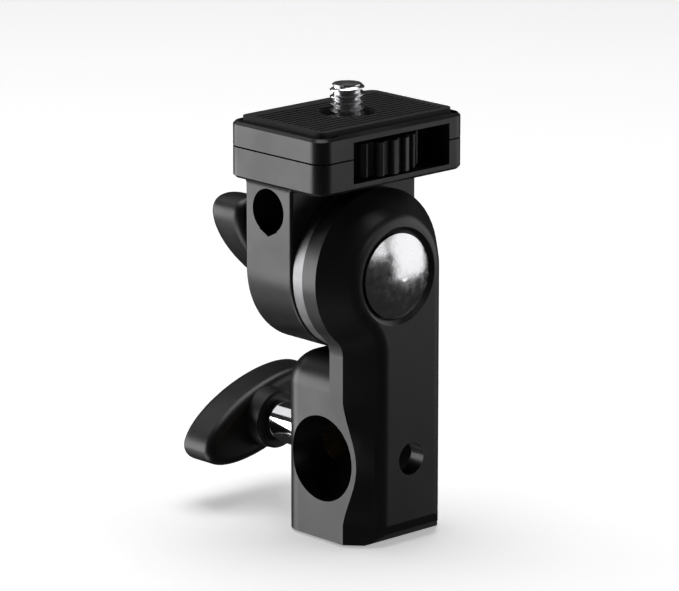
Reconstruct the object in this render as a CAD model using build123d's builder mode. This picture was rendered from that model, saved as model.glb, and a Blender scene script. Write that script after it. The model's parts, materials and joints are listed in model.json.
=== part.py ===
from build123d import *
import os
from math import asin, cos, pi, radians, sin, sqrt

os.makedirs("parts", exist_ok=True)

# Umbrella swivel bracket. Millimetres, +Z up. The origin is the centre of the stand socket's mouth.
# The chrome cap faces -Y, the umbrella hole and the cross socket open along X, the knobs stand on +Y.

# Driving dimensions: lower body
block_width = 24.0
block_depth = 22.6
block_height = 34.3
corner_radius = 5.0
crown_radius = 6.0
bevel_width = 5.0
bevel_depth = 5.6
bevel_blend = 3.0
foot_bevel_height = 3.6
foot_bevel_depth = 1.8
cross_depth = 20.6
wave_reach = 3.7
wave_rise = 13.5
wave_steps = 4
wave_sink = 0.15
wave_overrun = 3.0
wave_root = 0.8
wave_share = 0.78
wave_lap = 0.03
socket_radius = 8.2
socket_depth = 30.0
socket_chamfer = 0.4
cross_radius = 8.1
cross_height = 15.4
sight_hole_radius = 3.1
relief_step = 1.6
relief_start = -11.0
relief_end = -4.0
relief_depth = 2.6

# Driving dimensions: tilt joint
ear_radius = 15.4
ear_thickness = 9.1
ear_waist_radius = 4.0
pivot_rise = 16.2
ring_thickness = 2.5
ring_rim_inset = 0.1
ring_pin_radius = 1.0
ring_pin_circle = 10.0
ring_pin_length = 3.6
bolt_radius = 3.0
bolt_head_flats = 10.0
bolt_head_height = 4.0
bolt_end_margin = 2.5
cap_radius = 7.9
cap_rim_thickness = 1.0
cap_dome_height = 2.0
cap_seat_depth = 1.3
cap_seat_bevel = 1.1
cap_seat_bevel_depth = 0.77

# Driving dimensions: swivel arm and platform
arm_thickness = 12.4
arm_radius = 15.6
arm_edge_round = 0.6
arm_root_round = 1.4
disc_radius = 12.0
disc_thickness = 1.2
bush_wall = 1.1
plate_length = 36.5
plate_front = -10.2
plate_overhang = 2.0
plate_rise = 17.2
lower_plate_thickness = 5.7
top_plate_thickness = 4.4
plate_seam = 0.3
plate_corner_radius = 2.8
plate_edge_chamfer = 0.5
pad_inset = 1.6
pad_recess = 0.6
pad_thickness = 1.5
pad_hole_radius = 5.2

# Driving dimensions: umbrella hole and its lock
umbrella_radius = 4.15
umbrella_rise = 11.6
umbrella_vee_angle = 120.0
umbrella_screw_radius = 2.5
umbrella_head_radius = 3.6
umbrella_head_thickness = 2.1
umbrella_head_flutes = 18
umbrella_flute_radius = 0.25
umbrella_head_stand_off = 0.3
umbrella_insert_wall = 1.1
umbrella_pad_thickness = 0.4
umbrella_slot_width = 0.9
umbrella_slot_depth = 0.8

# Driving dimensions: camera screw and its wheel
wheel_radius = 12.9
wheel_ribs = 24
wheel_rib_depth = 0.9
wheel_rib_width = 1.9
wheel_rib_round = 0.6
wheel_floor = 1.3
wheel_pocket_height = 7.7
wheel_pocket_gap = 0.8
wheel_side_gap = 0.45
window_left_margin = 8.1
window_right_margin = 4.4
window_depth = 7.0
camera_thread_radius = 3.175
camera_thread_pitch = 1.27
camera_thread_groove = 0.35
camera_thread_length = 5.2
camera_neck_radius = 2.6
camera_collar_radius = 4.0
camera_core_radius = 5.0
camera_journal_radius = 2.8
camera_journal_length = 1.1
circlip_thickness = 0.6
circlip_width = 2.0
wheel_washer_thickness = 0.35
wheel_washer_radius = 8.0

# Driving dimensions: wing knobs
wing_half_length = 15.8
wing_half_width = 6.3
wing_thickness = 8.5
wing_round = 1.8
wing_hub_radius = 5.9
wing_hub_length = 3.2
wing_hub_taper = 4.0
hub_edge_chamfer = 0.4
stand_wing_angle = -20.0
tilt_wing_angle = 39.0
stand_wing_start = 27.5
tilt_nut_flats = 10.0
tilt_nut_length = 5.0

# Driving dimensions: stand lock
lock_screw_radius = 4.0
lock_screw_pitch = 1.25
lock_screw_groove = 0.3
lock_thread_length = 3.8
lock_screw_grip = 6.0
lock_pad_thickness = 1.2
lock_insert_wall = 1.5
lock_insert_depth = 2.2
lock_insert_flange = 1.2
lock_insert_chamfer = 0.3
lock_insert_flange_radius = 6.4

# Driving dimensions: plate screws
plate_screw_radius = 1.25
plate_screw_head_radius = 2.3
plate_screw_length = 6.4
plate_screw_inset = 2.9
plate_screw_left_inset = 4.0

# Driving dimensions: threads
thread_crest_share = 0.5

# Driving dimensions: washers
washer_radius = 7.2
washer_thickness = 1.2

# Clearances
overcut = 1.0
running_clearance = 0.08
seat_clearance = 0.02
face_gap = 0.1

# Derived places
half_width = block_width / 2
half_depth = block_depth / 2
front_y = -half_depth
bevel_start_y = front_y + bevel_depth
pivot_x = half_width - ear_radius
ear_back_y = front_y + ear_thickness
ring_back_y = ear_back_y + ring_thickness
arm_front_y = ring_back_y + face_gap
arm_back_y = arm_front_y + arm_thickness
arm_middle_y = (arm_front_y + arm_back_y) / 2
bolt_clear_radius = bolt_radius + running_clearance
bush_radius = bolt_clear_radius + bush_wall
cap_seat_radius = cap_radius + 2 * running_clearance
cap_seat_y = front_y + cap_seat_depth
head_front_y = cap_seat_y + face_gap
head_back_y = head_front_y + bolt_head_height
plate_left = pivot_x - plate_length / 2
plate_right = pivot_x + plate_length / 2
plate_back = arm_back_y + plate_overhang
plate_depth = plate_back - plate_front
plate_middle_y = (plate_back + plate_front) / 2
pivot_height = block_height + pivot_rise
plate_base = pivot_height + plate_rise
seam_z = plate_base + lower_plate_thickness
top_base = seam_z + plate_seam
plate_top = top_base + top_plate_thickness
pad_top = plate_top - pad_recess + pad_thickness
pad_length = plate_length - 2 * pad_inset
pad_width = plate_depth - 2 * pad_inset
pocket_base = plate_base + wheel_floor
pocket_top = pocket_base + wheel_pocket_height
pocket_radius = wheel_radius + wheel_pocket_gap
wheel_base = pocket_base + wheel_side_gap
wheel_top = pocket_top - circlip_thickness - wheel_side_gap
umbrella_z = pivot_height + umbrella_rise
washer_y = arm_back_y + face_gap
tilt_hub_y = washer_y + washer_thickness + face_gap
tilt_wing_y = tilt_hub_y + wing_hub_length
tilt_wing_end_y = tilt_wing_y + wing_thickness
pad_front_y = socket_radius + face_gap
lock_hole_radius = lock_screw_radius + running_clearance


def on_arm(point):
    """True within the arm's own outline, seen from above."""
    off_x = abs(point.X - pivot_x) < arm_radius + seat_clearance
    off_y = abs(point.Y - arm_middle_y) < arm_thickness / 2 + seat_clearance
    return off_x and off_y


def on_plate_rim(point):
    """True on the platform's outer edge rather than under its middle."""
    off_x = abs(point.X - pivot_x) > plate_length / 2 - plate_corner_radius
    off_y = abs(point.Y - plate_middle_y) > plate_depth / 2 - plate_corner_radius
    return off_x or off_y


def back_plane(x, y, z):
    """Sketch plane at y that looks along +Y, with +Z up."""
    return Plane(origin=(x, y, z), x_dir=(-1, 0, 0), z_dir=(0, 1, 0))


def front_plane(y):
    """Sketch plane at y in world X and Z, for profiles seen from the cap's side."""
    return Plane.XZ.offset(-y)


def axial_plane(x, z):
    """Half-profile plane whose x is the radius and whose y is world Y."""
    return Plane(origin=(x, 0, z), x_dir=(1, 0, 0), z_dir=(0, 0, 1))


def radial_plane(x, y):
    """Half-profile plane whose x is the radius and whose y is world Z."""
    return Plane(origin=(x, y, 0), x_dir=(1, 0, 0), z_dir=(0, -1, 0))


def grooved_profile(radius, start, end, pitch, groove, threaded):
    """Half profile of a rod whose first stretch is threaded: flat crests with a vee groove after each."""
    turns = int(threaded / pitch)
    points = [(0, start), (radius, start)]
    for turn in range(turns):
        low = start + turn * pitch
        crest = low + pitch * thread_crest_share
        points += [(radius, crest), (radius - groove, (crest + low + pitch) / 2), (radius, low + pitch)]
    points += [(radius, end), (0, end)]
    return points


def wing_knob(x, y, z, angle):
    """Two-lobed wing on a tapered hub; the hub starts at y and the wing follows it."""
    with BuildPart() as knob:
        with BuildSketch(back_plane(x, y + wing_hub_length, z)):
            Ellipse(wing_half_length, wing_half_width, rotation=angle)
        extrude(amount=wing_thickness)
        fillet(knob.edges(), wing_round)
        with BuildSketch(back_plane(x, y + wing_hub_length + wing_round, z)):
            Circle(wing_hub_radius)
        extrude(amount=-wing_hub_length - wing_round, taper=wing_hub_taper)
        chamfer(knob.faces().sort_by(Axis.Y)[0].edges(), hub_edge_chamfer)
    return knob.part


def bevel_wave():
    """Swelling of the front bevel that keeps a wall round the mouth of the cross socket."""
    end = Vector(wave_share * bevel_width - half_width, bevel_start_y - wave_share * bevel_depth + wave_lap)
    with BuildPart() as wave:
        with BuildSketch(Plane.XY.offset(cross_height - wave_rise)):
            with Locations((-half_width, front_y)):
                Rectangle(wave_share * bevel_width, bevel_depth + wave_root, align=(Align.MIN, Align.MIN))
        extrude(amount=2 * wave_rise)
        for step in range(-wave_steps, wave_steps + 1):
            swell = wave_reach * (1 + cos(pi * step / wave_steps)) / 2 - wave_sink
            start = Vector(-half_width, bevel_start_y - swell)
            overrun = (end - start).normalized() * wave_overrun
            before = start - overrun
            after = end + overrun
            with BuildSketch(Plane.XY.offset(cross_height + wave_rise * step / wave_steps)):
                with BuildLine():
                    Polyline(
                        (before.X, before.Y),
                        (after.X, after.Y),
                        (-half_width - wave_overrun, front_y - wave_overrun),
                        close=True,
                    )
                make_face()
        loft(mode=Mode.SUBTRACT)
    return wave.part


def hand_in(piece, name):
    piece.part.label = name
    export_step(piece.part, f"parts/{name}.step")


# Lower body: a rounded block with the stand socket, and an ear flush with its front face
pivot_hex_radius = bolt_head_flats / sqrt(3)
waist_z = pivot_height - sqrt(ear_radius**2 - (pivot_x + half_width) ** 2)

with BuildPart() as lower_body:
    with BuildSketch(Plane.XY):
        with Locations((0, (ear_back_y + half_depth) / 2)):
            Rectangle(block_width, half_depth - ear_back_y)
    extrude(amount=block_height)
    fillet(lower_body.edges().filter_by(Axis.Z).group_by(Axis.Y)[-1], corner_radius)
    crown = lower_body.faces().sort_by(Axis.Z)[-1].edges()
    fillet(crown.filter_by(lambda edge: edge.center().Y > ear_back_y + seat_clearance), crown_radius)
    with BuildSketch(front_plane(front_y)) as ear_profile:
        with Locations((0, pivot_height / 2)):
            Rectangle(block_width, pivot_height)
        with Locations((pivot_x, pivot_height)):
            Circle(ear_radius)
        waist = ear_profile.vertices().sort_by_distance((-half_width, waist_z, 0))[0]
        fillet(waist, ear_waist_radius)
    extrude(amount=-ear_thickness)
    face = lower_body.faces().sort_by(Axis.Y)[0]
    rim = face.edges().filter_by(lambda edge: edge.center().Z > corner_radius / 2)
    chamfer(rim, bevel_width, bevel_depth, reference=face)
    face = lower_body.faces().sort_by(Axis.Y)[0]
    rim = face.edges().filter_by(lambda edge: edge.center().Z > corner_radius / 2)
    fillet(rim, bevel_blend)
    add(bevel_wave())
    # Bevel along the foot's front edge
    with BuildSketch(Plane.YZ.offset(-half_width)):
        with BuildLine():
            Polyline(
                (front_y, foot_bevel_height),
                (front_y + foot_bevel_depth, 0),
                (front_y - foot_bevel_depth, 0),
                (front_y - foot_bevel_depth, foot_bevel_height),
                close=True,
            )
        make_face()
    extrude(amount=block_width, mode=Mode.SUBTRACT)
    # Relief along the front of the foot, with an S-shaped run-out on the umbrella side
    with BuildSketch(front_plane(front_y - seat_clearance)):
        with BuildLine():
            Spline(
                (relief_start, -seat_clearance),
                (relief_end, relief_step),
                tangents=[(1, 0), (1, 0)],
            )
            Line((relief_end, relief_step), (half_width + overcut, relief_step))
            Line((half_width + overcut, relief_step), (half_width + overcut, -overcut))
            Line((half_width + overcut, -overcut), (relief_start, -overcut))
            Line((relief_start, -overcut), (relief_start, -seat_clearance))
        make_face()
    extrude(amount=-relief_depth, mode=Mode.SUBTRACT)
    # Stand socket, cross socket, sight hole and lock screw hole
    with BuildSketch(Plane.XY):
        Circle(socket_radius)
    extrude(amount=socket_depth, mode=Mode.SUBTRACT)
    with BuildSketch(Plane.XY):
        Circle(socket_radius + socket_chamfer)
    extrude(amount=socket_chamfer, taper=45, mode=Mode.SUBTRACT)
    with BuildSketch(Plane.YZ.offset(-half_width)):
        with Locations((0, cross_height)):
            Circle(cross_radius)
    extrude(amount=cross_depth, mode=Mode.SUBTRACT)
    with BuildSketch(front_plane(front_y)):
        with Locations((0, cross_height)):
            Circle(sight_hole_radius)
    extrude(amount=-half_depth, mode=Mode.SUBTRACT)
    with BuildSketch(front_plane(0)):
        with Locations((0, cross_height)):
            Circle(lock_hole_radius)
    extrude(amount=-half_depth, mode=Mode.SUBTRACT)
    with BuildSketch(front_plane(half_depth - lock_insert_depth)):
        with Locations((0, cross_height)):
            Circle(lock_hole_radius + lock_insert_wall + seat_clearance)
    extrude(amount=-lock_insert_depth, mode=Mode.SUBTRACT)
    # Bevelled cap seat, hex pocket for the bolt head and the bolt hole
    with BuildSketch(axial_plane(pivot_x, pivot_height)):
        with BuildLine():
            Polyline(
                (0, front_y),
                (cap_seat_radius + cap_seat_bevel, front_y),
                (cap_seat_radius, front_y + cap_seat_bevel_depth),
                (cap_seat_radius, cap_seat_y),
                (0, cap_seat_y),
                close=True,
            )
        make_face()
    revolve(axis=Axis((pivot_x, 0, pivot_height), (0, 1, 0)), mode=Mode.SUBTRACT)
    with BuildSketch(back_plane(pivot_x, cap_seat_y, pivot_height)):
        RegularPolygon(pivot_hex_radius + running_clearance, 6)
    extrude(amount=head_back_y + seat_clearance - cap_seat_y, mode=Mode.SUBTRACT)
    with BuildSketch(back_plane(pivot_x, front_y, pivot_height)):
        Circle(bolt_clear_radius)
    extrude(amount=ear_thickness, mode=Mode.SUBTRACT)
    # Blind holes for the two ring pins
    with BuildSketch(back_plane(pivot_x, ear_back_y, pivot_height)):
        with PolarLocations(ring_pin_circle, 2):
            Circle(ring_pin_radius + seat_clearance)
    extrude(amount=-ring_pin_length / 2, mode=Mode.SUBTRACT)
hand_in(lower_body, "lower_body")

with BuildPart() as friction_ring:
    with BuildSketch(back_plane(pivot_x, ear_back_y, pivot_height)):
        Circle(ear_radius - ring_rim_inset)
        Circle(bolt_clear_radius, mode=Mode.SUBTRACT)
    extrude(amount=ring_thickness)
    with BuildSketch(back_plane(pivot_x, ear_back_y, pivot_height)):
        with PolarLocations(ring_pin_circle, 2):
            Circle(ring_pin_radius + seat_clearance)
    extrude(amount=ring_pin_length / 2, mode=Mode.SUBTRACT)
hand_in(friction_ring, "friction_ring")

with BuildPart() as ring_pins:
    with BuildSketch(back_plane(pivot_x, ear_back_y - ring_pin_length / 2 + seat_clearance, pivot_height)):
        with PolarLocations(ring_pin_circle, 2):
            Circle(ring_pin_radius)
    extrude(amount=ring_pin_length - 2 * seat_clearance)
hand_in(ring_pins, "ring_pins")

with BuildPart() as pivot_bolt:
    with BuildSketch(back_plane(pivot_x, head_front_y, pivot_height)):
        RegularPolygon(pivot_hex_radius, 6)
    extrude(amount=bolt_head_height)
    with BuildSketch(back_plane(pivot_x, head_back_y, pivot_height)):
        Circle(bolt_radius)
    extrude(amount=tilt_wing_end_y - bolt_end_margin - head_back_y)
hand_in(pivot_bolt, "pivot_bolt")

dome_radius = (cap_radius**2 + cap_dome_height**2) / (2 * cap_dome_height)
dome_angle = asin(cap_radius / dome_radius)
dome_apex_y = cap_seat_y - cap_rim_thickness - cap_dome_height

with BuildPart() as pivot_cap:
    with BuildSketch(axial_plane(pivot_x, pivot_height)):
        with BuildLine():
            Line((0, cap_seat_y), (cap_radius, cap_seat_y))
            Line((cap_radius, cap_seat_y), (cap_radius, cap_seat_y - cap_rim_thickness))
            ThreePointArc(
                (cap_radius, cap_seat_y - cap_rim_thickness),
                (dome_radius * sin(dome_angle / 2), dome_apex_y + dome_radius * (1 - cos(dome_angle / 2))),
                (0, dome_apex_y),
            )
            Line((0, dome_apex_y), (0, cap_seat_y))
        make_face()
    revolve(axis=Axis((pivot_x, 0, pivot_height), (0, 1, 0)))
hand_in(pivot_cap, "pivot_cap")

with BuildPart() as thrust_washer:
    with BuildSketch(back_plane(pivot_x, washer_y, pivot_height)):
        Circle(washer_radius)
        Circle(bolt_clear_radius, mode=Mode.SUBTRACT)
    extrude(amount=washer_thickness)
hand_in(thrust_washer, "thrust_washer")

# Stand lock: threaded bush in the back wall, pad, screw and wing knob
with BuildPart() as stand_lock_insert:
    with BuildSketch(back_plane(0, half_depth - lock_insert_depth, cross_height)):
        Circle(lock_hole_radius + lock_insert_wall)
    extrude(amount=lock_insert_depth)
    with BuildSketch(back_plane(0, half_depth, cross_height)):
        Circle(lock_insert_flange_radius)
    extrude(amount=lock_insert_flange)
    with BuildSketch(back_plane(0, half_depth - lock_insert_depth, cross_height)):
        Circle(lock_hole_radius)
    extrude(amount=lock_insert_depth + lock_insert_flange, mode=Mode.SUBTRACT)
    chamfer(stand_lock_insert.faces().sort_by(Axis.Y)[-1].outer_wire().edges(), lock_insert_chamfer)
hand_in(stand_lock_insert, "stand_lock_insert")

with BuildPart() as stand_lock_pad:
    with BuildSketch(back_plane(0, pad_front_y, cross_height)):
        Circle(lock_screw_radius)
    extrude(amount=lock_pad_thickness)
hand_in(stand_lock_pad, "stand_lock_pad")

lock_screw_y = pad_front_y + lock_pad_thickness
lock_screw_end_y = stand_wing_start + lock_screw_grip

with BuildPart() as stand_lock_screw:
    with BuildSketch(axial_plane(0, cross_height)):
        with BuildLine():
            Polyline(
                *grooved_profile(
                    lock_screw_radius,
                    lock_screw_y,
                    lock_screw_end_y,
                    lock_screw_pitch,
                    lock_screw_groove,
                    lock_thread_length,
                ),
                close=True,
            )
        make_face()
    revolve(axis=Axis((0, 0, cross_height), (0, 1, 0)))
hand_in(stand_lock_screw, "stand_lock_screw")

with BuildPart() as stand_lock_knob:
    add(wing_knob(0, stand_wing_start - wing_hub_length, cross_height, stand_wing_angle))
    with BuildSketch(back_plane(0, stand_wing_start - wing_hub_length, cross_height)):
        Circle(lock_screw_radius + seat_clearance)
    extrude(amount=wing_hub_length + lock_screw_grip + seat_clearance, mode=Mode.SUBTRACT)
hand_in(stand_lock_knob, "stand_lock_knob")

# Tilt lock: the same wing knob, with a captive nut on the end of the pivot bolt
tilt_nut_y = tilt_wing_y + (wing_thickness - tilt_nut_length) / 2
tilt_nut_radius = tilt_nut_flats / sqrt(3)

with BuildPart() as tilt_knob:
    add(wing_knob(pivot_x, tilt_hub_y, pivot_height, tilt_wing_angle))
    with BuildSketch(back_plane(pivot_x, tilt_hub_y, pivot_height)):
        Circle(bolt_clear_radius)
    extrude(amount=tilt_wing_end_y - tilt_hub_y - bolt_end_margin / 2, mode=Mode.SUBTRACT)
    with BuildSketch(back_plane(pivot_x, tilt_nut_y, pivot_height)):
        RegularPolygon(tilt_nut_radius + seat_clearance, 6)
    extrude(amount=tilt_nut_length + seat_clearance, mode=Mode.SUBTRACT)
hand_in(tilt_knob, "tilt_knob")

with BuildPart() as tilt_knob_nut:
    with BuildSketch(back_plane(pivot_x, tilt_nut_y, pivot_height)):
        RegularPolygon(tilt_nut_radius, 6)
        Circle(bolt_clear_radius, mode=Mode.SUBTRACT)
    extrude(amount=tilt_nut_length)
hand_in(tilt_knob_nut, "tilt_knob_nut")

# Swivel arm: a half-round arm cast in one with the lower half of the platform
vee_half = radians(umbrella_vee_angle / 2)
vee_apex = umbrella_radius / cos(vee_half / 2)
insert_radius = umbrella_screw_radius + running_clearance + umbrella_insert_wall
screw_corners = [
    (plate_left + plate_screw_left_inset, plate_front + plate_screw_inset),
    (plate_left + plate_screw_left_inset, plate_back - plate_screw_inset),
    (plate_right - plate_screw_inset, plate_front + plate_screw_inset),
    (plate_right - plate_screw_inset, plate_back - plate_screw_inset),
]
window_length = plate_length - window_left_margin - window_right_margin
window_x = plate_left + window_left_margin + window_length / 2

with BuildPart() as swivel_arm:
    with BuildSketch(back_plane(pivot_x, arm_front_y, pivot_height)):
        Circle(arm_radius)
        with Locations((0, (plate_base - pivot_height) / 2)):
            Rectangle(2 * arm_radius, plate_base - pivot_height)
    extrude(amount=arm_thickness)
    outline = swivel_arm.faces().sort_by(Axis.Y)[-1].edges() + swivel_arm.faces().sort_by(Axis.Y)[0].edges()
    fillet(outline.filter_by(lambda edge: edge.center().Z < plate_base - arm_edge_round), arm_edge_round)
    with BuildSketch(Plane.XY.offset(plate_base)):
        with Locations((pivot_x, plate_middle_y)):
            RectangleRounded(plate_length, plate_depth, plate_corner_radius)
    extrude(amount=lower_plate_thickness)
    underside = swivel_arm.edges().filter_by_position(Axis.Z, plate_base - face_gap, plate_base + face_gap)
    fillet(underside.filter_by(lambda edge: on_arm(edge.center())), arm_root_round)
    underside = swivel_arm.edges().filter_by_position(Axis.Z, plate_base - face_gap, plate_base + face_gap)
    chamfer(underside.filter_by(lambda edge: on_plate_rim(edge.center())), plate_edge_chamfer)
    # Umbrella hole with a vee floor, along X through the arm
    with BuildSketch(Plane.YZ.offset(pivot_x - arm_radius - overcut)):
        with Locations((arm_middle_y, umbrella_z)):
            Circle(umbrella_radius)
        with BuildLine():
            Polyline(
                (arm_middle_y, umbrella_z),
                (arm_middle_y - vee_apex / 2, umbrella_z - umbrella_radius * cos(vee_half / 2)),
                (arm_middle_y, umbrella_z - vee_apex),
                (arm_middle_y + vee_apex / 2, umbrella_z - umbrella_radius * cos(vee_half / 2)),
                close=True,
            )
        make_face()
    extrude(amount=2 * (arm_radius + overcut), mode=Mode.SUBTRACT)
    # Pivot bore for the bush, and the recess for the friction disc
    with BuildSketch(back_plane(pivot_x, arm_front_y, pivot_height)):
        Circle(bush_radius + seat_clearance)
    extrude(amount=arm_thickness, mode=Mode.SUBTRACT)
    with BuildSketch(back_plane(pivot_x, arm_front_y, pivot_height)):
        Circle(disc_radius + seat_clearance)
    extrude(amount=disc_thickness, mode=Mode.SUBTRACT)
    # Seat for the umbrella lock's threaded bush
    with BuildSketch(back_plane(pivot_x, arm_middle_y, umbrella_z)):
        Circle(insert_radius + seat_clearance)
    extrude(amount=arm_thickness, mode=Mode.SUBTRACT)
    # Wheel pocket, its front window and the screw's journal hole
    with BuildSketch(Plane.XY.offset(pocket_base)):
        with Locations((pivot_x, plate_middle_y)):
            Circle(pocket_radius)
        with Locations((window_x, plate_front + window_depth / 2)):
            Rectangle(window_length, window_depth)
    extrude(amount=seam_z - pocket_base, mode=Mode.SUBTRACT)
    with BuildSketch(Plane.XY.offset(pocket_base - camera_journal_length)):
        with Locations((pivot_x, plate_middle_y)):
            Circle(camera_journal_radius + running_clearance)
    extrude(amount=camera_journal_length, mode=Mode.SUBTRACT)
    with BuildSketch(Plane.XY.offset(seam_z)):
        with Locations(*screw_corners):
            Circle(plate_screw_radius + seat_clearance)
    extrude(amount=top_plate_thickness - pad_recess - plate_screw_length, mode=Mode.SUBTRACT)
hand_in(swivel_arm, "swivel_arm")

with BuildPart() as arm_disc:
    with BuildSketch(back_plane(pivot_x, arm_front_y, pivot_height)):
        Circle(disc_radius)
        Circle(bolt_clear_radius, mode=Mode.SUBTRACT)
    extrude(amount=disc_thickness)
hand_in(arm_disc, "arm_disc")

with BuildPart() as arm_bush:
    with BuildSketch(back_plane(pivot_x, arm_front_y + disc_thickness, pivot_height)):
        Circle(bush_radius)
        Circle(bolt_clear_radius, mode=Mode.SUBTRACT)
    extrude(amount=arm_thickness - disc_thickness)
hand_in(arm_bush, "arm_bush")

# Umbrella lock: threaded bush, slotted screw and pad
umbrella_pad_y = arm_middle_y + umbrella_radius + face_gap
umbrella_head_y = arm_back_y + umbrella_head_stand_off

with BuildPart() as umbrella_insert:
    with BuildSketch(back_plane(pivot_x, umbrella_pad_y, umbrella_z)):
        Circle(insert_radius)
        Circle(umbrella_screw_radius + running_clearance, mode=Mode.SUBTRACT)
    extrude(amount=arm_back_y - umbrella_pad_y)
hand_in(umbrella_insert, "umbrella_insert")

with BuildPart() as umbrella_pad:
    with BuildSketch(back_plane(pivot_x, umbrella_pad_y, umbrella_z)):
        Circle(umbrella_screw_radius)
    extrude(amount=umbrella_pad_thickness)
hand_in(umbrella_pad, "umbrella_pad")

with BuildPart() as umbrella_screw:
    with BuildSketch(back_plane(pivot_x, umbrella_pad_y + umbrella_pad_thickness, umbrella_z)):
        Circle(umbrella_screw_radius)
    extrude(amount=umbrella_head_y - umbrella_pad_y - umbrella_pad_thickness)
    with BuildSketch(back_plane(pivot_x, umbrella_head_y, umbrella_z)):
        Circle(umbrella_head_radius)
        with PolarLocations(umbrella_head_radius, umbrella_head_flutes):
            Circle(umbrella_flute_radius, mode=Mode.SUBTRACT)
    extrude(amount=umbrella_head_thickness)
    with BuildSketch(back_plane(pivot_x, umbrella_head_y + umbrella_head_thickness, umbrella_z)):
        Rectangle(2 * (umbrella_head_radius + overcut), umbrella_slot_width)
    extrude(amount=-umbrella_slot_depth, mode=Mode.SUBTRACT)
hand_in(umbrella_screw, "umbrella_screw")

# Top plate, rubber pad and the four countersunk screws that the pad hides
with BuildPart() as top_plate:
    with BuildSketch(Plane.XY.offset(top_base)):
        with Locations((pivot_x, plate_middle_y)):
            RectangleRounded(plate_length, plate_depth, plate_corner_radius)
    extrude(amount=top_plate_thickness)
    chamfer(top_plate.faces().sort_by(Axis.Z)[-1].edges(), plate_edge_chamfer)
    with BuildSketch(Plane.XY.offset(plate_top - pad_recess)):
        with Locations((pivot_x, plate_middle_y)):
            Rectangle(pad_length + 2 * seat_clearance, pad_width + 2 * seat_clearance)
    extrude(amount=pad_recess, mode=Mode.SUBTRACT)
    with BuildSketch(Plane.XY.offset(top_base)):
        with Locations((pivot_x, plate_middle_y)):
            Circle(pocket_radius)
        with Locations((window_x, plate_front + window_depth / 2)):
            Rectangle(window_length, window_depth)
    extrude(amount=pocket_top - top_base, mode=Mode.SUBTRACT)
    with BuildSketch(Plane.XY.offset(top_base)):
        with Locations((pivot_x, plate_middle_y)):
            Circle(camera_collar_radius + running_clearance)
        with Locations(*screw_corners):
            Circle(plate_screw_radius + seat_clearance)
    extrude(amount=top_plate_thickness, mode=Mode.SUBTRACT)
    for x, y in screw_corners:
        with Locations((x, y, plate_top - pad_recess)):
            CounterSinkHole(
                radius=plate_screw_radius + seat_clearance,
                counter_sink_radius=plate_screw_head_radius + seat_clearance,
                depth=top_plate_thickness,
            )
hand_in(top_plate, "top_plate")

with BuildPart() as plate_screws:
    for x, y in screw_corners:
        with BuildSketch(radial_plane(x, y)):
            with BuildLine():
                head_z = plate_top - pad_recess - face_gap
                neck_z = head_z - (plate_screw_head_radius - plate_screw_radius)
                Polyline(
                    (0, head_z),
                    (plate_screw_head_radius - face_gap, head_z),
                    (plate_screw_radius, neck_z + face_gap),
                    (plate_screw_radius, plate_top - pad_recess - plate_screw_length + face_gap),
                    (0, plate_top - pad_recess - plate_screw_length + face_gap),
                    close=True,
                )
            make_face()
        revolve(axis=Axis((x, y, 0), (0, 0, 1)))
hand_in(plate_screws, "plate_screws")

with BuildPart() as rubber_pad:
    with BuildSketch(Plane.XY.offset(plate_top - pad_recess)):
        with Locations((pivot_x, plate_middle_y)):
            Rectangle(pad_length, pad_width)
            Circle(pad_hole_radius, mode=Mode.SUBTRACT)
    extrude(amount=pad_thickness)
    fillet(rubber_pad.edges().filter_by(Axis.Z), plate_corner_radius - pad_inset)
hand_in(rubber_pad, "rubber_pad")

# Camera screw: a captive quarter-inch screw turned by the ribbed wheel
with BuildPart() as camera_screw:
    with BuildSketch(radial_plane(pivot_x, plate_middle_y)):
        with BuildLine():
            thread = grooved_profile(
                camera_thread_radius,
                pad_top,
                pad_top + camera_thread_length,
                camera_thread_pitch,
                camera_thread_groove,
                camera_thread_length,
            )
            Polyline(
                (0, pocket_base - camera_journal_length + face_gap),
                (camera_journal_radius, pocket_base - camera_journal_length + face_gap),
                (camera_journal_radius, wheel_base),
                (camera_core_radius, wheel_base),
                (camera_core_radius, wheel_top),
                (camera_collar_radius, wheel_top),
                (camera_collar_radius, pad_top - pad_thickness),
                (camera_neck_radius, pad_top - pad_thickness),
                (camera_neck_radius, pad_top),
                *thread[1:],
                close=True,
            )
        make_face()
    revolve(axis=Axis((pivot_x, plate_middle_y, 0), (0, 0, 1)))
hand_in(camera_screw, "camera_screw")

with BuildPart() as thumbwheel:
    with BuildSketch(Plane.XY.offset(wheel_base)):
        with Locations((pivot_x, plate_middle_y)):
            Circle(wheel_radius - wheel_rib_depth)
            with PolarLocations(wheel_radius - wheel_rib_depth, wheel_ribs):
                RectangleRounded(2 * wheel_rib_depth, wheel_rib_width, wheel_rib_round)
            Circle(camera_core_radius + seat_clearance, mode=Mode.SUBTRACT)
    extrude(amount=wheel_top - wheel_base)
hand_in(thumbwheel, "thumbwheel")

with BuildPart() as screw_circlip:
    with BuildSketch(Plane.XY.offset(wheel_top)):
        with Locations((pivot_x, plate_middle_y)):
            Circle(camera_collar_radius + circlip_width)
            Circle(camera_collar_radius + seat_clearance, mode=Mode.SUBTRACT)
        with Locations((pivot_x + camera_collar_radius + circlip_width, plate_middle_y)):
            Rectangle(2 * (circlip_width + seat_clearance), circlip_width, mode=Mode.SUBTRACT)
    extrude(amount=circlip_thickness)
hand_in(screw_circlip, "screw_circlip")

with BuildPart() as wheel_washer:
    with BuildSketch(Plane.XY.offset(pocket_base)):
        with Locations((pivot_x, plate_middle_y)):
            Circle(wheel_washer_radius)
            Circle(camera_journal_radius + running_clearance, mode=Mode.SUBTRACT)
    extrude(amount=wheel_washer_thickness)
hand_in(wheel_washer, "wheel_washer")
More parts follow.
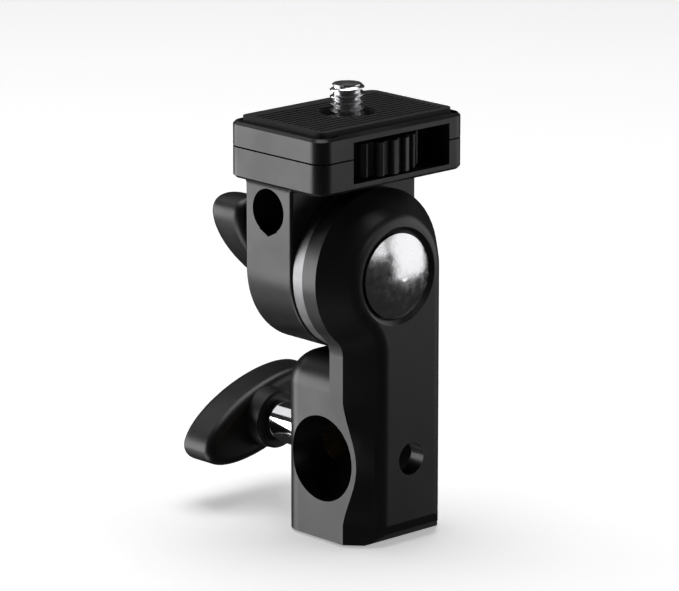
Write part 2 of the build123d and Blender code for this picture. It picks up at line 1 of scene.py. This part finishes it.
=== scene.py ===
import bpy
import json
import math
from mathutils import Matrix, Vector


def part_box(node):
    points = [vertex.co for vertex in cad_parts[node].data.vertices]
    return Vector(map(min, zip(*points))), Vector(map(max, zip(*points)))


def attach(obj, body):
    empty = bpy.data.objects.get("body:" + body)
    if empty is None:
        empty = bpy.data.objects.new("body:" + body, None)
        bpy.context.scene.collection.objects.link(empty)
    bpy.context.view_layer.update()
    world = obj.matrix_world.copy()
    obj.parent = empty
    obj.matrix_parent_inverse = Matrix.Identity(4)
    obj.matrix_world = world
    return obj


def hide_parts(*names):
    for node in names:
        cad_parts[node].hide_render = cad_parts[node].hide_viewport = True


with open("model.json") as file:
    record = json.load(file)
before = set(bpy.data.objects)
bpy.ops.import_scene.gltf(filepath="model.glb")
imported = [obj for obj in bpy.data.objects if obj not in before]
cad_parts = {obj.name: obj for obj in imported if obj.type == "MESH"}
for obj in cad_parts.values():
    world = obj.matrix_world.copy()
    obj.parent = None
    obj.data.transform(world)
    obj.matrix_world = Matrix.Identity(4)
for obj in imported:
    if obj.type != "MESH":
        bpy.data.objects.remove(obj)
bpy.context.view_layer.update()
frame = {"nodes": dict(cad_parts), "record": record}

nodes = frame["nodes"]


def deselectAll():
    for item in bpy.context.selected_objects:
        item.select_set(False)


# camera, floor and lights
cameraSettings = {
    "aim": (0.0005, 0.0085, 0.0425),
    "eye": (-0.5661, -0.5966, 0.2570),
    "lens": 245.0,
    "nearest": 0.01,
}


def addCamera(settings):
    cameraData = bpy.data.cameras.new("viewCamera")
    cameraData.lens = settings["lens"]
    cameraData.clip_start = settings["nearest"]
    camera = bpy.data.objects.new("viewCamera", cameraData)
    bpy.context.scene.collection.objects.link(camera)
    camera.location = settings["eye"]
    direction = Vector(settings["aim"]) - Vector(settings["eye"])
    camera.rotation_euler = direction.to_track_quat("-Z", "Y").to_euler()
    bpy.context.scene.camera = camera


addCamera(cameraSettings)

studioSettings = {
    "floorSize": 6.0,
    "floorDrop": 0.0004,
    "floorColour": (0.90, 0.90, 0.90, 1),
    "floorGlow": 0.40,
    "floorRoughness": 0.9,
    "floorSpecular": 0.1,
    "skyForEye": (0.97, 0.97, 0.97, 1),
    "skyForLight": (0.02, 0.02, 0.0205, 1),
    "skyStrength": 1.0,
}

# name, direction in degrees (turn, lift), distance, width, height, brightness
softboxes = [
    ("backLeft", 130, -4, 0.90, 0.90, 0.56, 4.4),
    ("rightFront", -34, 8, 0.90, 1.00, 0.74, 1.15),
    ("overhead", 60, 82, 0.90, 0.70, 0.70, 4.0),
    ("floorBounce", 150, -48, 0.90, 0.70, 0.60, 2.2),
    ("backHigh", 106, 38, 0.90, 0.50, 0.40, 0.9),
    ("frontHigh", -82, 24, 0.90, 0.34, 0.30, 1.1),
]


def addFloor(settings):
    floorPlace = (0, 0, -settings["floorDrop"])
    bpy.ops.mesh.primitive_plane_add(size=settings["floorSize"], location=floorPlace)
    floor = bpy.context.object
    floor.name = "floor"
    bpy.ops.object.transform_apply(location=True, rotation=True, scale=True)
    paint = bpy.data.materials.new("floorPaper")
    paint.use_nodes = True
    shader = paint.node_tree.nodes["Principled BSDF"]
    shader.inputs["Base Color"].default_value = settings["floorColour"]
    shader.inputs["Roughness"].default_value = settings["floorRoughness"]
    shader.inputs["Specular IOR Level"].default_value = settings["floorSpecular"]
    shader.inputs["Emission Color"].default_value = settings["floorColour"]
    shader.inputs["Emission Strength"].default_value = settings["floorGlow"]
    floor.data.materials.append(paint)
    floor.visible_glossy = False
    floor.visible_shadow = False


def addSky(settings):
    sky = bpy.data.worlds.new("paleSky")
    sky.use_nodes = True
    tree = sky.node_tree
    tree.nodes.clear()
    output = tree.nodes.new("ShaderNodeOutputWorld")
    mix = tree.nodes.new("ShaderNodeMixShader")
    path = tree.nodes.new("ShaderNodeLightPath")
    seen = tree.nodes.new("ShaderNodeBackground")
    unseen = tree.nodes.new("ShaderNodeBackground")
    seen.inputs["Color"].default_value = settings["skyForEye"]
    unseen.inputs["Color"].default_value = settings["skyForLight"]
    unseen.inputs["Strength"].default_value = settings["skyStrength"]
    tree.links.new(path.outputs["Is Camera Ray"], mix.inputs["Fac"])
    tree.links.new(unseen.outputs[0], mix.inputs[1])
    tree.links.new(seen.outputs[0], mix.inputs[2])
    tree.links.new(mix.outputs[0], output.inputs["Surface"])
    bpy.context.scene.world = sky


def addSoftboxes():
    middle = Vector(cameraSettings["aim"])
    for name, turn, lift, distance, width, height, brightness in softboxes:
        lamp = bpy.data.lights.new(name, "AREA")
        lamp.shape = "RECTANGLE"
        lamp.size = width
        lamp.size_y = height
        lamp.energy = brightness * math.pi * width * height
        holder = bpy.data.objects.new(name, lamp)
        bpy.context.scene.collection.objects.link(holder)
        flat = math.cos(math.radians(lift))
        away = Vector((
            flat * math.cos(math.radians(turn)),
            flat * math.sin(math.radians(turn)),
            math.sin(math.radians(lift)),
        ))
        holder.location = middle + distance * away
        holder.rotation_euler = (-away).to_track_quat("-Z", "Y").to_euler()


addFloor(studioSettings)
addSky(studioSettings)
addSoftboxes()
bpy.context.scene.view_settings.view_transform = "Standard"
print("camera and studio ready")


# finishes, one builder for each kind
def newMaterial(name):
    material = bpy.data.materials.new(name)
    material.use_nodes = True
    shader = material.node_tree.nodes["Principled BSDF"]
    coords = material.node_tree.nodes.new("ShaderNodeTexCoord")
    return material, material.node_tree, shader, coords.outputs["Object"]


def noiseField(tree, coords, scale, detail, stretch=(1, 1, 1)):
    mapping = tree.nodes.new("ShaderNodeMapping")
    mapping.inputs["Scale"].default_value = stretch
    noise = tree.nodes.new("ShaderNodeTexNoise")
    noise.inputs["Scale"].default_value = scale
    noise.inputs["Detail"].default_value = detail
    tree.links.new(coords, mapping.inputs["Vector"])
    tree.links.new(mapping.outputs["Vector"], noise.inputs["Vector"])
    return noise.outputs["Fac"]


def rampRange(tree, field, low, high, toLow, toHigh):
    remap = tree.nodes.new("ShaderNodeMapRange")
    remap.inputs["From Min"].default_value = low
    remap.inputs["From Max"].default_value = high
    remap.inputs["To Min"].default_value = toLow
    remap.inputs["To Max"].default_value = toHigh
    tree.links.new(field, remap.inputs["Value"])
    return remap.outputs["Result"]


def mixColours(tree, factor, first, second):
    mix = tree.nodes.new("ShaderNodeMix")
    mix.data_type = "RGBA"
    mix.inputs["A"].default_value = first
    mix.inputs["B"].default_value = second
    tree.links.new(factor, mix.inputs["Factor"])
    return mix.outputs["Result"]


# dot product of flat and rounded normal: where wear begins, and where it is full
wearSettings = {"samples": 6, "begins": 0.995, "full": 0.90, "spotLow": 0.35, "spotHigh": 0.65}


def edgeWear(tree, coords, radius, amount, grain):
    bevel = tree.nodes.new("ShaderNodeBevel")
    bevel.samples = wearSettings["samples"]
    bevel.inputs["Radius"].default_value = radius
    geometry = tree.nodes.new("ShaderNodeNewGeometry")
    dot = tree.nodes.new("ShaderNodeVectorMath")
    dot.operation = "DOT_PRODUCT"
    tree.links.new(bevel.outputs["Normal"], dot.inputs[0])
    tree.links.new(geometry.outputs["Normal"], dot.inputs[1])
    begins, full = wearSettings["begins"], wearSettings["full"]
    edge = rampRange(tree, dot.outputs["Value"], begins, full, 0.0, amount)
    speckle = noiseField(tree, coords, grain, 4)
    spots = rampRange(tree, speckle, wearSettings["spotLow"], wearSettings["spotHigh"], 0.0, 1.0)
    product = tree.nodes.new("ShaderNodeMath")
    product.operation = "MULTIPLY"
    tree.links.new(edge, product.inputs[0])
    tree.links.new(spots, product.inputs[1])
    return product.outputs["Value"]


def addBump(tree, shader, fields, distance):
    normal = None
    for field, strength in fields:
        bump = tree.nodes.new("ShaderNodeBump")
        bump.inputs["Strength"].default_value = strength
        bump.inputs["Distance"].default_value = distance
        tree.links.new(field, bump.inputs["Height"])
        if normal:
            tree.links.new(normal, bump.inputs["Normal"])
        normal = bump.outputs["Normal"]
    tree.links.new(normal, shader.inputs["Normal"])


def paintedCasting(name, settings):
    material, tree, shader, coords = newMaterial(name)
    clouds = noiseField(tree, coords, settings["cloudScale"], 3)
    radius, amount = settings["wearRadius"], settings["wear"]
    wear = edgeWear(tree, coords, radius, amount, settings["wearGrain"])
    body = mixColours(tree, clouds, settings["dark"], settings["light"])
    worn = tree.nodes.new("ShaderNodeMix")
    worn.data_type = "RGBA"
    worn.inputs["B"].default_value = settings["wornColour"]
    tree.links.new(body, worn.inputs["A"])
    tree.links.new(wear, worn.inputs["Factor"])
    tree.links.new(worn.outputs["Result"], shader.inputs["Base Color"])
    rough = rampRange(tree, clouds, 0.3, 0.7, settings["smooth"], settings["rough"])
    tree.links.new(rough, shader.inputs["Roughness"])
    shader.inputs["Specular IOR Level"].default_value = settings["specular"]
    grain = noiseField(tree, coords, settings["grainScale"], 4)
    peel = noiseField(tree, coords, settings["peelScale"], 2)
    fields = ((grain, settings["grain"]), (peel, settings["peel"]))
    addBump(tree, shader, fields, settings["bumpDepth"])
    return material


def polishedMetal(name, settings):
    material, tree, shader, coords = newMaterial(name)
    haze = noiseField(tree, coords, settings["hazeScale"], 3)
    lines = noiseField(tree, coords, settings["lineScale"], 2, settings["lineStretch"])
    tint = mixColours(tree, haze, settings["dark"], settings["light"])
    tree.links.new(tint, shader.inputs["Base Color"])
    shader.inputs["Metallic"].default_value = 1.0
    rough = rampRange(tree, haze, 0.3, 0.7, settings["smooth"], settings["rough"])
    tree.links.new(rough, shader.inputs["Roughness"])
    fields = ((lines, settings["lines"]), (haze, settings["dents"]))
    addBump(tree, shader, fields, settings["bumpDepth"])
    return material


castingPaint = {
    "dark": (0.0030, 0.0030, 0.0032, 1),
    "light": (0.0060, 0.0060, 0.0063, 1),
    "wornColour": (0.06, 0.06, 0.062, 1),
    "wear": 0.35, "wearRadius": 0.0003, "wearGrain": 900.0,
    "cloudScale": 120.0, "smooth": 0.30, "rough": 0.40, "specular": 0.5,
    "grainScale": 5200.0, "grain": 0.16,
    "peelScale": 900.0, "peel": 0.10, "bumpDepth": 0.00006,
}
knobPlastic = dict(
    castingPaint, smooth=0.34, rough=0.46, wear=0.15, grainScale=4200.0, grain=0.22
)
wheelPlastic = dict(castingPaint, smooth=0.30, rough=0.42, wear=0.2)
rubberSkin = dict(
    castingPaint, smooth=0.72, rough=0.85, wear=0.0, grain=0.5, specular=0.3,
    dark=(0.010, 0.010, 0.010, 1), light=(0.018, 0.018, 0.018, 1)
)
fibreSkin = dict(
    castingPaint, smooth=0.7, rough=0.85, wear=0.0, grain=0.6,
    dark=(0.10, 0.055, 0.03, 1), light=(0.18, 0.11, 0.07, 1)
)
nylonSkin = dict(
    castingPaint, smooth=0.4, rough=0.5, wear=0.0, grain=0.1,
    dark=(0.62, 0.61, 0.57, 1), light=(0.70, 0.69, 0.65, 1)
)
chromeSkin = {
    "dark": (0.74, 0.74, 0.76, 1), "light": (0.86, 0.86, 0.87, 1),
    "smooth": 0.05, "rough": 0.10,
    "hazeScale": 420.0, "dents": 0.05,
    "lineScale": 900.0, "lineStretch": (1, 1, 1), "lines": 0.03,
    "bumpDepth": 0.00004,
}
capSkin = dict(
    chromeSkin, smooth=0.16, rough=0.30,
    hazeScale=650.0, lineScale=1300.0, lines=0.35, dents=0.35
)
zincSkin = dict(chromeSkin, smooth=0.18, rough=0.30, lineStretch=(1, 1, 14))
ringSkin = dict(
    chromeSkin, dark=(0.20, 0.20, 0.205, 1), light=(0.30, 0.30, 0.305, 1),
    smooth=0.40, rough=0.52, lineScale=300.0, lineStretch=(1, 22, 1), lines=0.25
)
blackSteelSkin = dict(
    chromeSkin, dark=(0.05, 0.05, 0.052, 1), light=(0.09, 0.09, 0.095, 1),
    smooth=0.3, rough=0.45
)
brassSkin = dict(
    chromeSkin, dark=(0.55, 0.38, 0.16, 1), light=(0.70, 0.52, 0.25, 1),
    smooth=0.2, rough=0.34
)

finishes = {
    "cast_black": paintedCasting("castBlack", castingPaint),
    "knob_black": paintedCasting("knobBlack", knobPlastic),
    "wheel_black": paintedCasting("wheelBlack", wheelPlastic),
    "pad_rubber": paintedCasting("padRubber", rubberSkin),
    "fibre": paintedCasting("frictionFibre", fibreSkin),
    "washer_nylon": paintedCasting("washerNylon", nylonSkin),
    "cap_chrome": polishedMetal("capChrome", capSkin),
    "screw_chrome": polishedMetal("screwChrome", chromeSkin),
    "screw_steel": polishedMetal("screwZinc", zincSkin),
    "ring_steel": polishedMetal("ringSteel", ringSkin),
    "dark_steel": polishedMetal("blackSteel", blackSteelSkin),
    "insert_brass": polishedMetal("insertBrass", brassSkin),
}


# helpers for pieces modelled by hand
roundSides = 72


def clearChoice(item, kind):
    bpy.context.tool_settings.mesh_select_mode = (False, kind == "EDGE", kind == "FACE")
    for parts in (item.data.vertices, item.data.edges, item.data.polygons):
        for part in parts:
            part.select = False


def editEdges(item, test):
    clearChoice(item, "EDGE")
    points = item.data.vertices
    for edge in item.data.edges:
        edge.select = test(points[edge.vertices[0]].co, points[edge.vertices[1]].co)
    bpy.ops.object.mode_set(mode="EDIT")


def editFaces(item, test):
    clearChoice(item, "FACE")
    for face in item.data.polygons:
        face.select = test(face.center, face.normal)
    bpy.ops.object.mode_set(mode="EDIT")


def objectMode():
    bpy.ops.object.mode_set(mode="OBJECT")


def applyModifier(item, kind, **values):
    modifier = item.modifiers.new(kind.lower(), kind)
    for name, value in values.items():
        setattr(modifier, name, value)
    bpy.ops.object.modifier_apply(modifier=modifier.name)


def settlePiece(item, name, smoothAngle):
    bpy.ops.object.transform_apply(location=True, rotation=True, scale=True)
    item.name = name
    item.data.name = name
    bpy.ops.object.shade_smooth_by_angle(angle=math.radians(smoothAngle))


def combine(item, other, operation):
    deselectAll()
    item.select_set(True)
    bpy.context.view_layer.objects.active = item
    applyModifier(item, "BOOLEAN", object=other, operation=operation, solver="EXACT")
    bpy.data.objects.remove(other)


def giveFinish(item, slot):
    item.data.materials.clear()
    item.data.materials.append(finishes[slot])


# rubber pad with moulded grooves
padSettings = {
    "border": 0.0016, "pitch": 0.0014, "groove": 0.0006, "depth": 0.00035,
    "corner": 0.0018, "cornerSteps": 6, "holeRadius": 0.0052, "drillDepth": 0.01,
    "shortEdge": 0.0005, "facingUp": 0.9, "smoothAngle": 40,
}


def makePad(settings):
    low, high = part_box("rubber_pad")
    middle = (low + high) / 2
    deselectAll()
    bpy.ops.mesh.primitive_cube_add(size=1, location=middle)
    pad = bpy.context.object
    pad.scale = high - low
    bpy.ops.object.transform_apply(location=True, rotation=True, scale=True)
    editEdges(pad, lambda a, b: abs(a.z - b.z) > settings["shortEdge"])
    bpy.ops.mesh.bevel(offset=settings["corner"], segments=settings["cornerSteps"], affect="EDGES")
    border = settings["border"]
    leftEnd, rightEnd = low.x + border, high.x - border
    cuts = [((leftEnd, 0, 0), (1, 0, 0)), ((rightEnd, 0, 0), (1, 0, 0))]
    first = low.y + border
    count = int((high.y - low.y - 2 * border) / settings["pitch"])
    for index in range(count):
        start = first + index * settings["pitch"]
        end = start + settings["groove"]
        cuts += [((0, start, 0), (0, 1, 0)), ((0, end, 0), (0, 1, 0))]
    for place, normal in cuts:
        bpy.ops.mesh.select_all(action="SELECT")
        bpy.ops.mesh.bisect(plane_co=place, plane_no=normal)
    objectMode()

    def inGroove(centre, normal):
        along = (centre.y - first) % settings["pitch"]
        inside = leftEnd < centre.x < rightEnd
        within = first < centre.y < first + count * settings["pitch"]
        upwards = normal.z > settings["facingUp"]
        return upwards and inside and within and along < settings["groove"]

    editFaces(pad, inGroove)
    sink = (0, 0, -settings["depth"])
    bpy.ops.mesh.extrude_region_move(TRANSFORM_OT_translate={"value": sink})
    objectMode()
    bpy.ops.mesh.primitive_cylinder_add(
        vertices=roundSides, radius=settings["holeRadius"],
        depth=settings["drillDepth"], location=middle
    )
    drill = bpy.context.object
    bpy.ops.object.transform_apply(location=True, rotation=True, scale=True)
    combine(pad, drill, "DIFFERENCE")
    settlePiece(pad, "groovedPad", settings["smoothAngle"])
    giveFinish(pad, "pad_rubber")
    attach(pad, "head")
    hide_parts("rubber_pad")
    print("grooved pad", len(pad.data.polygons), "faces")


makePad(padSettings)

# camera screw with a cut thread
cameraScrewSettings = {
    "pitch": 0.00127, "turns": 7, "steps": 48,
    "crest": 0.003175, "root": 0.00255, "overlap": 0.00015,
    "rootFlat": 0.00108, "crestFlat": 0.00020, "tipChamfer": 0.00055,
    "neckTop": 0.0775, "threadStart": 0.0780,
    "collarRadius": 0.0040, "hubRadius": 0.0050, "journalRadius": 0.0028,
    "lap": 0.0002, "edgeReach": 0.0001, "mergeReach": 0.000001, "holeSides": 6,
    "smoothAngle": 30,
}


def addRod(axis, radius, low, high):
    middle = (axis.x, axis.y, (low + high) / 2)
    bpy.ops.mesh.primitive_cylinder_add(
        vertices=roundSides, radius=radius, depth=high - low, location=middle
    )
    rod = bpy.context.object
    bpy.ops.object.transform_apply(location=True, rotation=True, scale=True)
    return rod


def makeCameraScrew(settings):
    low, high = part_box("camera_screw")
    wheelLow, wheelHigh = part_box("thumbwheel")
    axis = (low + high) / 2
    # helical ridge: a small trapezium wound up by the Screw modifier
    deselectAll()
    ridgePlace = (axis.x, axis.y, settings["neckTop"] - settings["pitch"])
    bpy.ops.mesh.primitive_plane_add(size=1, location=ridgePlace)
    ridge = bpy.context.object
    clearChoice(ridge, "FACE")
    bpy.ops.object.mode_set(mode="EDIT")
    bpy.ops.mesh.select_all(action="SELECT")
    inner = settings["root"] - settings["overlap"]
    depth = settings["crest"] - inner
    bpy.ops.transform.resize(value=(depth, settings["rootFlat"], 1))
    bpy.ops.transform.rotate(
        value=math.pi / 2, orient_axis="X", center_override=ridge.location
    )
    centre = inner + depth / 2
    bpy.ops.transform.translate(value=(centre, 0, 0))
    objectMode()
    editEdges(ridge, lambda a, b: a.x > centre and b.x > centre)
    narrowing = settings["crestFlat"] / settings["rootFlat"]
    bpy.ops.transform.resize(value=(1, 1, narrowing))
    bpy.ops.mesh.select_all(action="SELECT")
    bpy.ops.mesh.delete(type="ONLY_FACE")
    objectMode()
    applyModifier(
        ridge, "SCREW", axis="Z", angle=2 * math.pi, screw_offset=settings["pitch"],
        iterations=settings["turns"], steps=settings["steps"],
        render_steps=settings["steps"], use_smooth_shade=False
    )
    bpy.ops.object.mode_set(mode="EDIT")
    bpy.ops.mesh.select_all(action="SELECT")
    bpy.ops.mesh.remove_doubles(threshold=settings["mergeReach"])
    bpy.ops.mesh.fill_holes(sides=settings["holeSides"])
    bpy.ops.mesh.select_all(action="SELECT")
    bpy.ops.mesh.normals_make_consistent(inside=False)
    objectMode()
    bpy.ops.object.transform_apply(location=True, rotation=True, scale=True)
    # envelope that trims the ridge and chamfers the tip
    envelope = addRod(axis, settings["crest"], settings["threadStart"], high.z)
    nearTop = high.z - settings["edgeReach"]
    editEdges(envelope, lambda a, b: a.z > nearTop and b.z > nearTop)
    bpy.ops.mesh.bevel(offset=settings["tipChamfer"], segments=1, affect="EDGES")
    objectMode()
    lap = settings["lap"]
    core = addRod(axis, settings["root"], settings["threadStart"] - lap, high.z)
    combine(ridge, core, "UNION")
    combine(ridge, envelope, "INTERSECT")
    rods = (
        (settings["root"], settings["neckTop"] - lap, settings["threadStart"] + lap),
        (settings["collarRadius"], wheelHigh.z - lap, settings["neckTop"]),
        (settings["hubRadius"], wheelLow.z, wheelHigh.z),
        (settings["journalRadius"], low.z, wheelLow.z + lap),
    )
    for radius, start, end in rods:
        combine(ridge, addRod(axis, radius, start, end), "UNION")
    settlePiece(ridge, "threadedScrew", settings["smoothAngle"])
    giveFinish(ridge, "screw_steel")
    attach(ridge, "camera_wheel")
    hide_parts("camera_screw")
    print("threaded screw", len(ridge.data.polygons), "faces")


makeCameraScrew(cameraScrewSettings)

slotOfNode = {}
for entry in frame["record"]["subparts"]:
    slotOfNode[entry["node"]] = entry["material_slot"]
for name, item in nodes.items():
    for slot in item.material_slots:
        slot.material = finishes[slotOfNode[name]]
print("finishes on", len(nodes), "nodes")
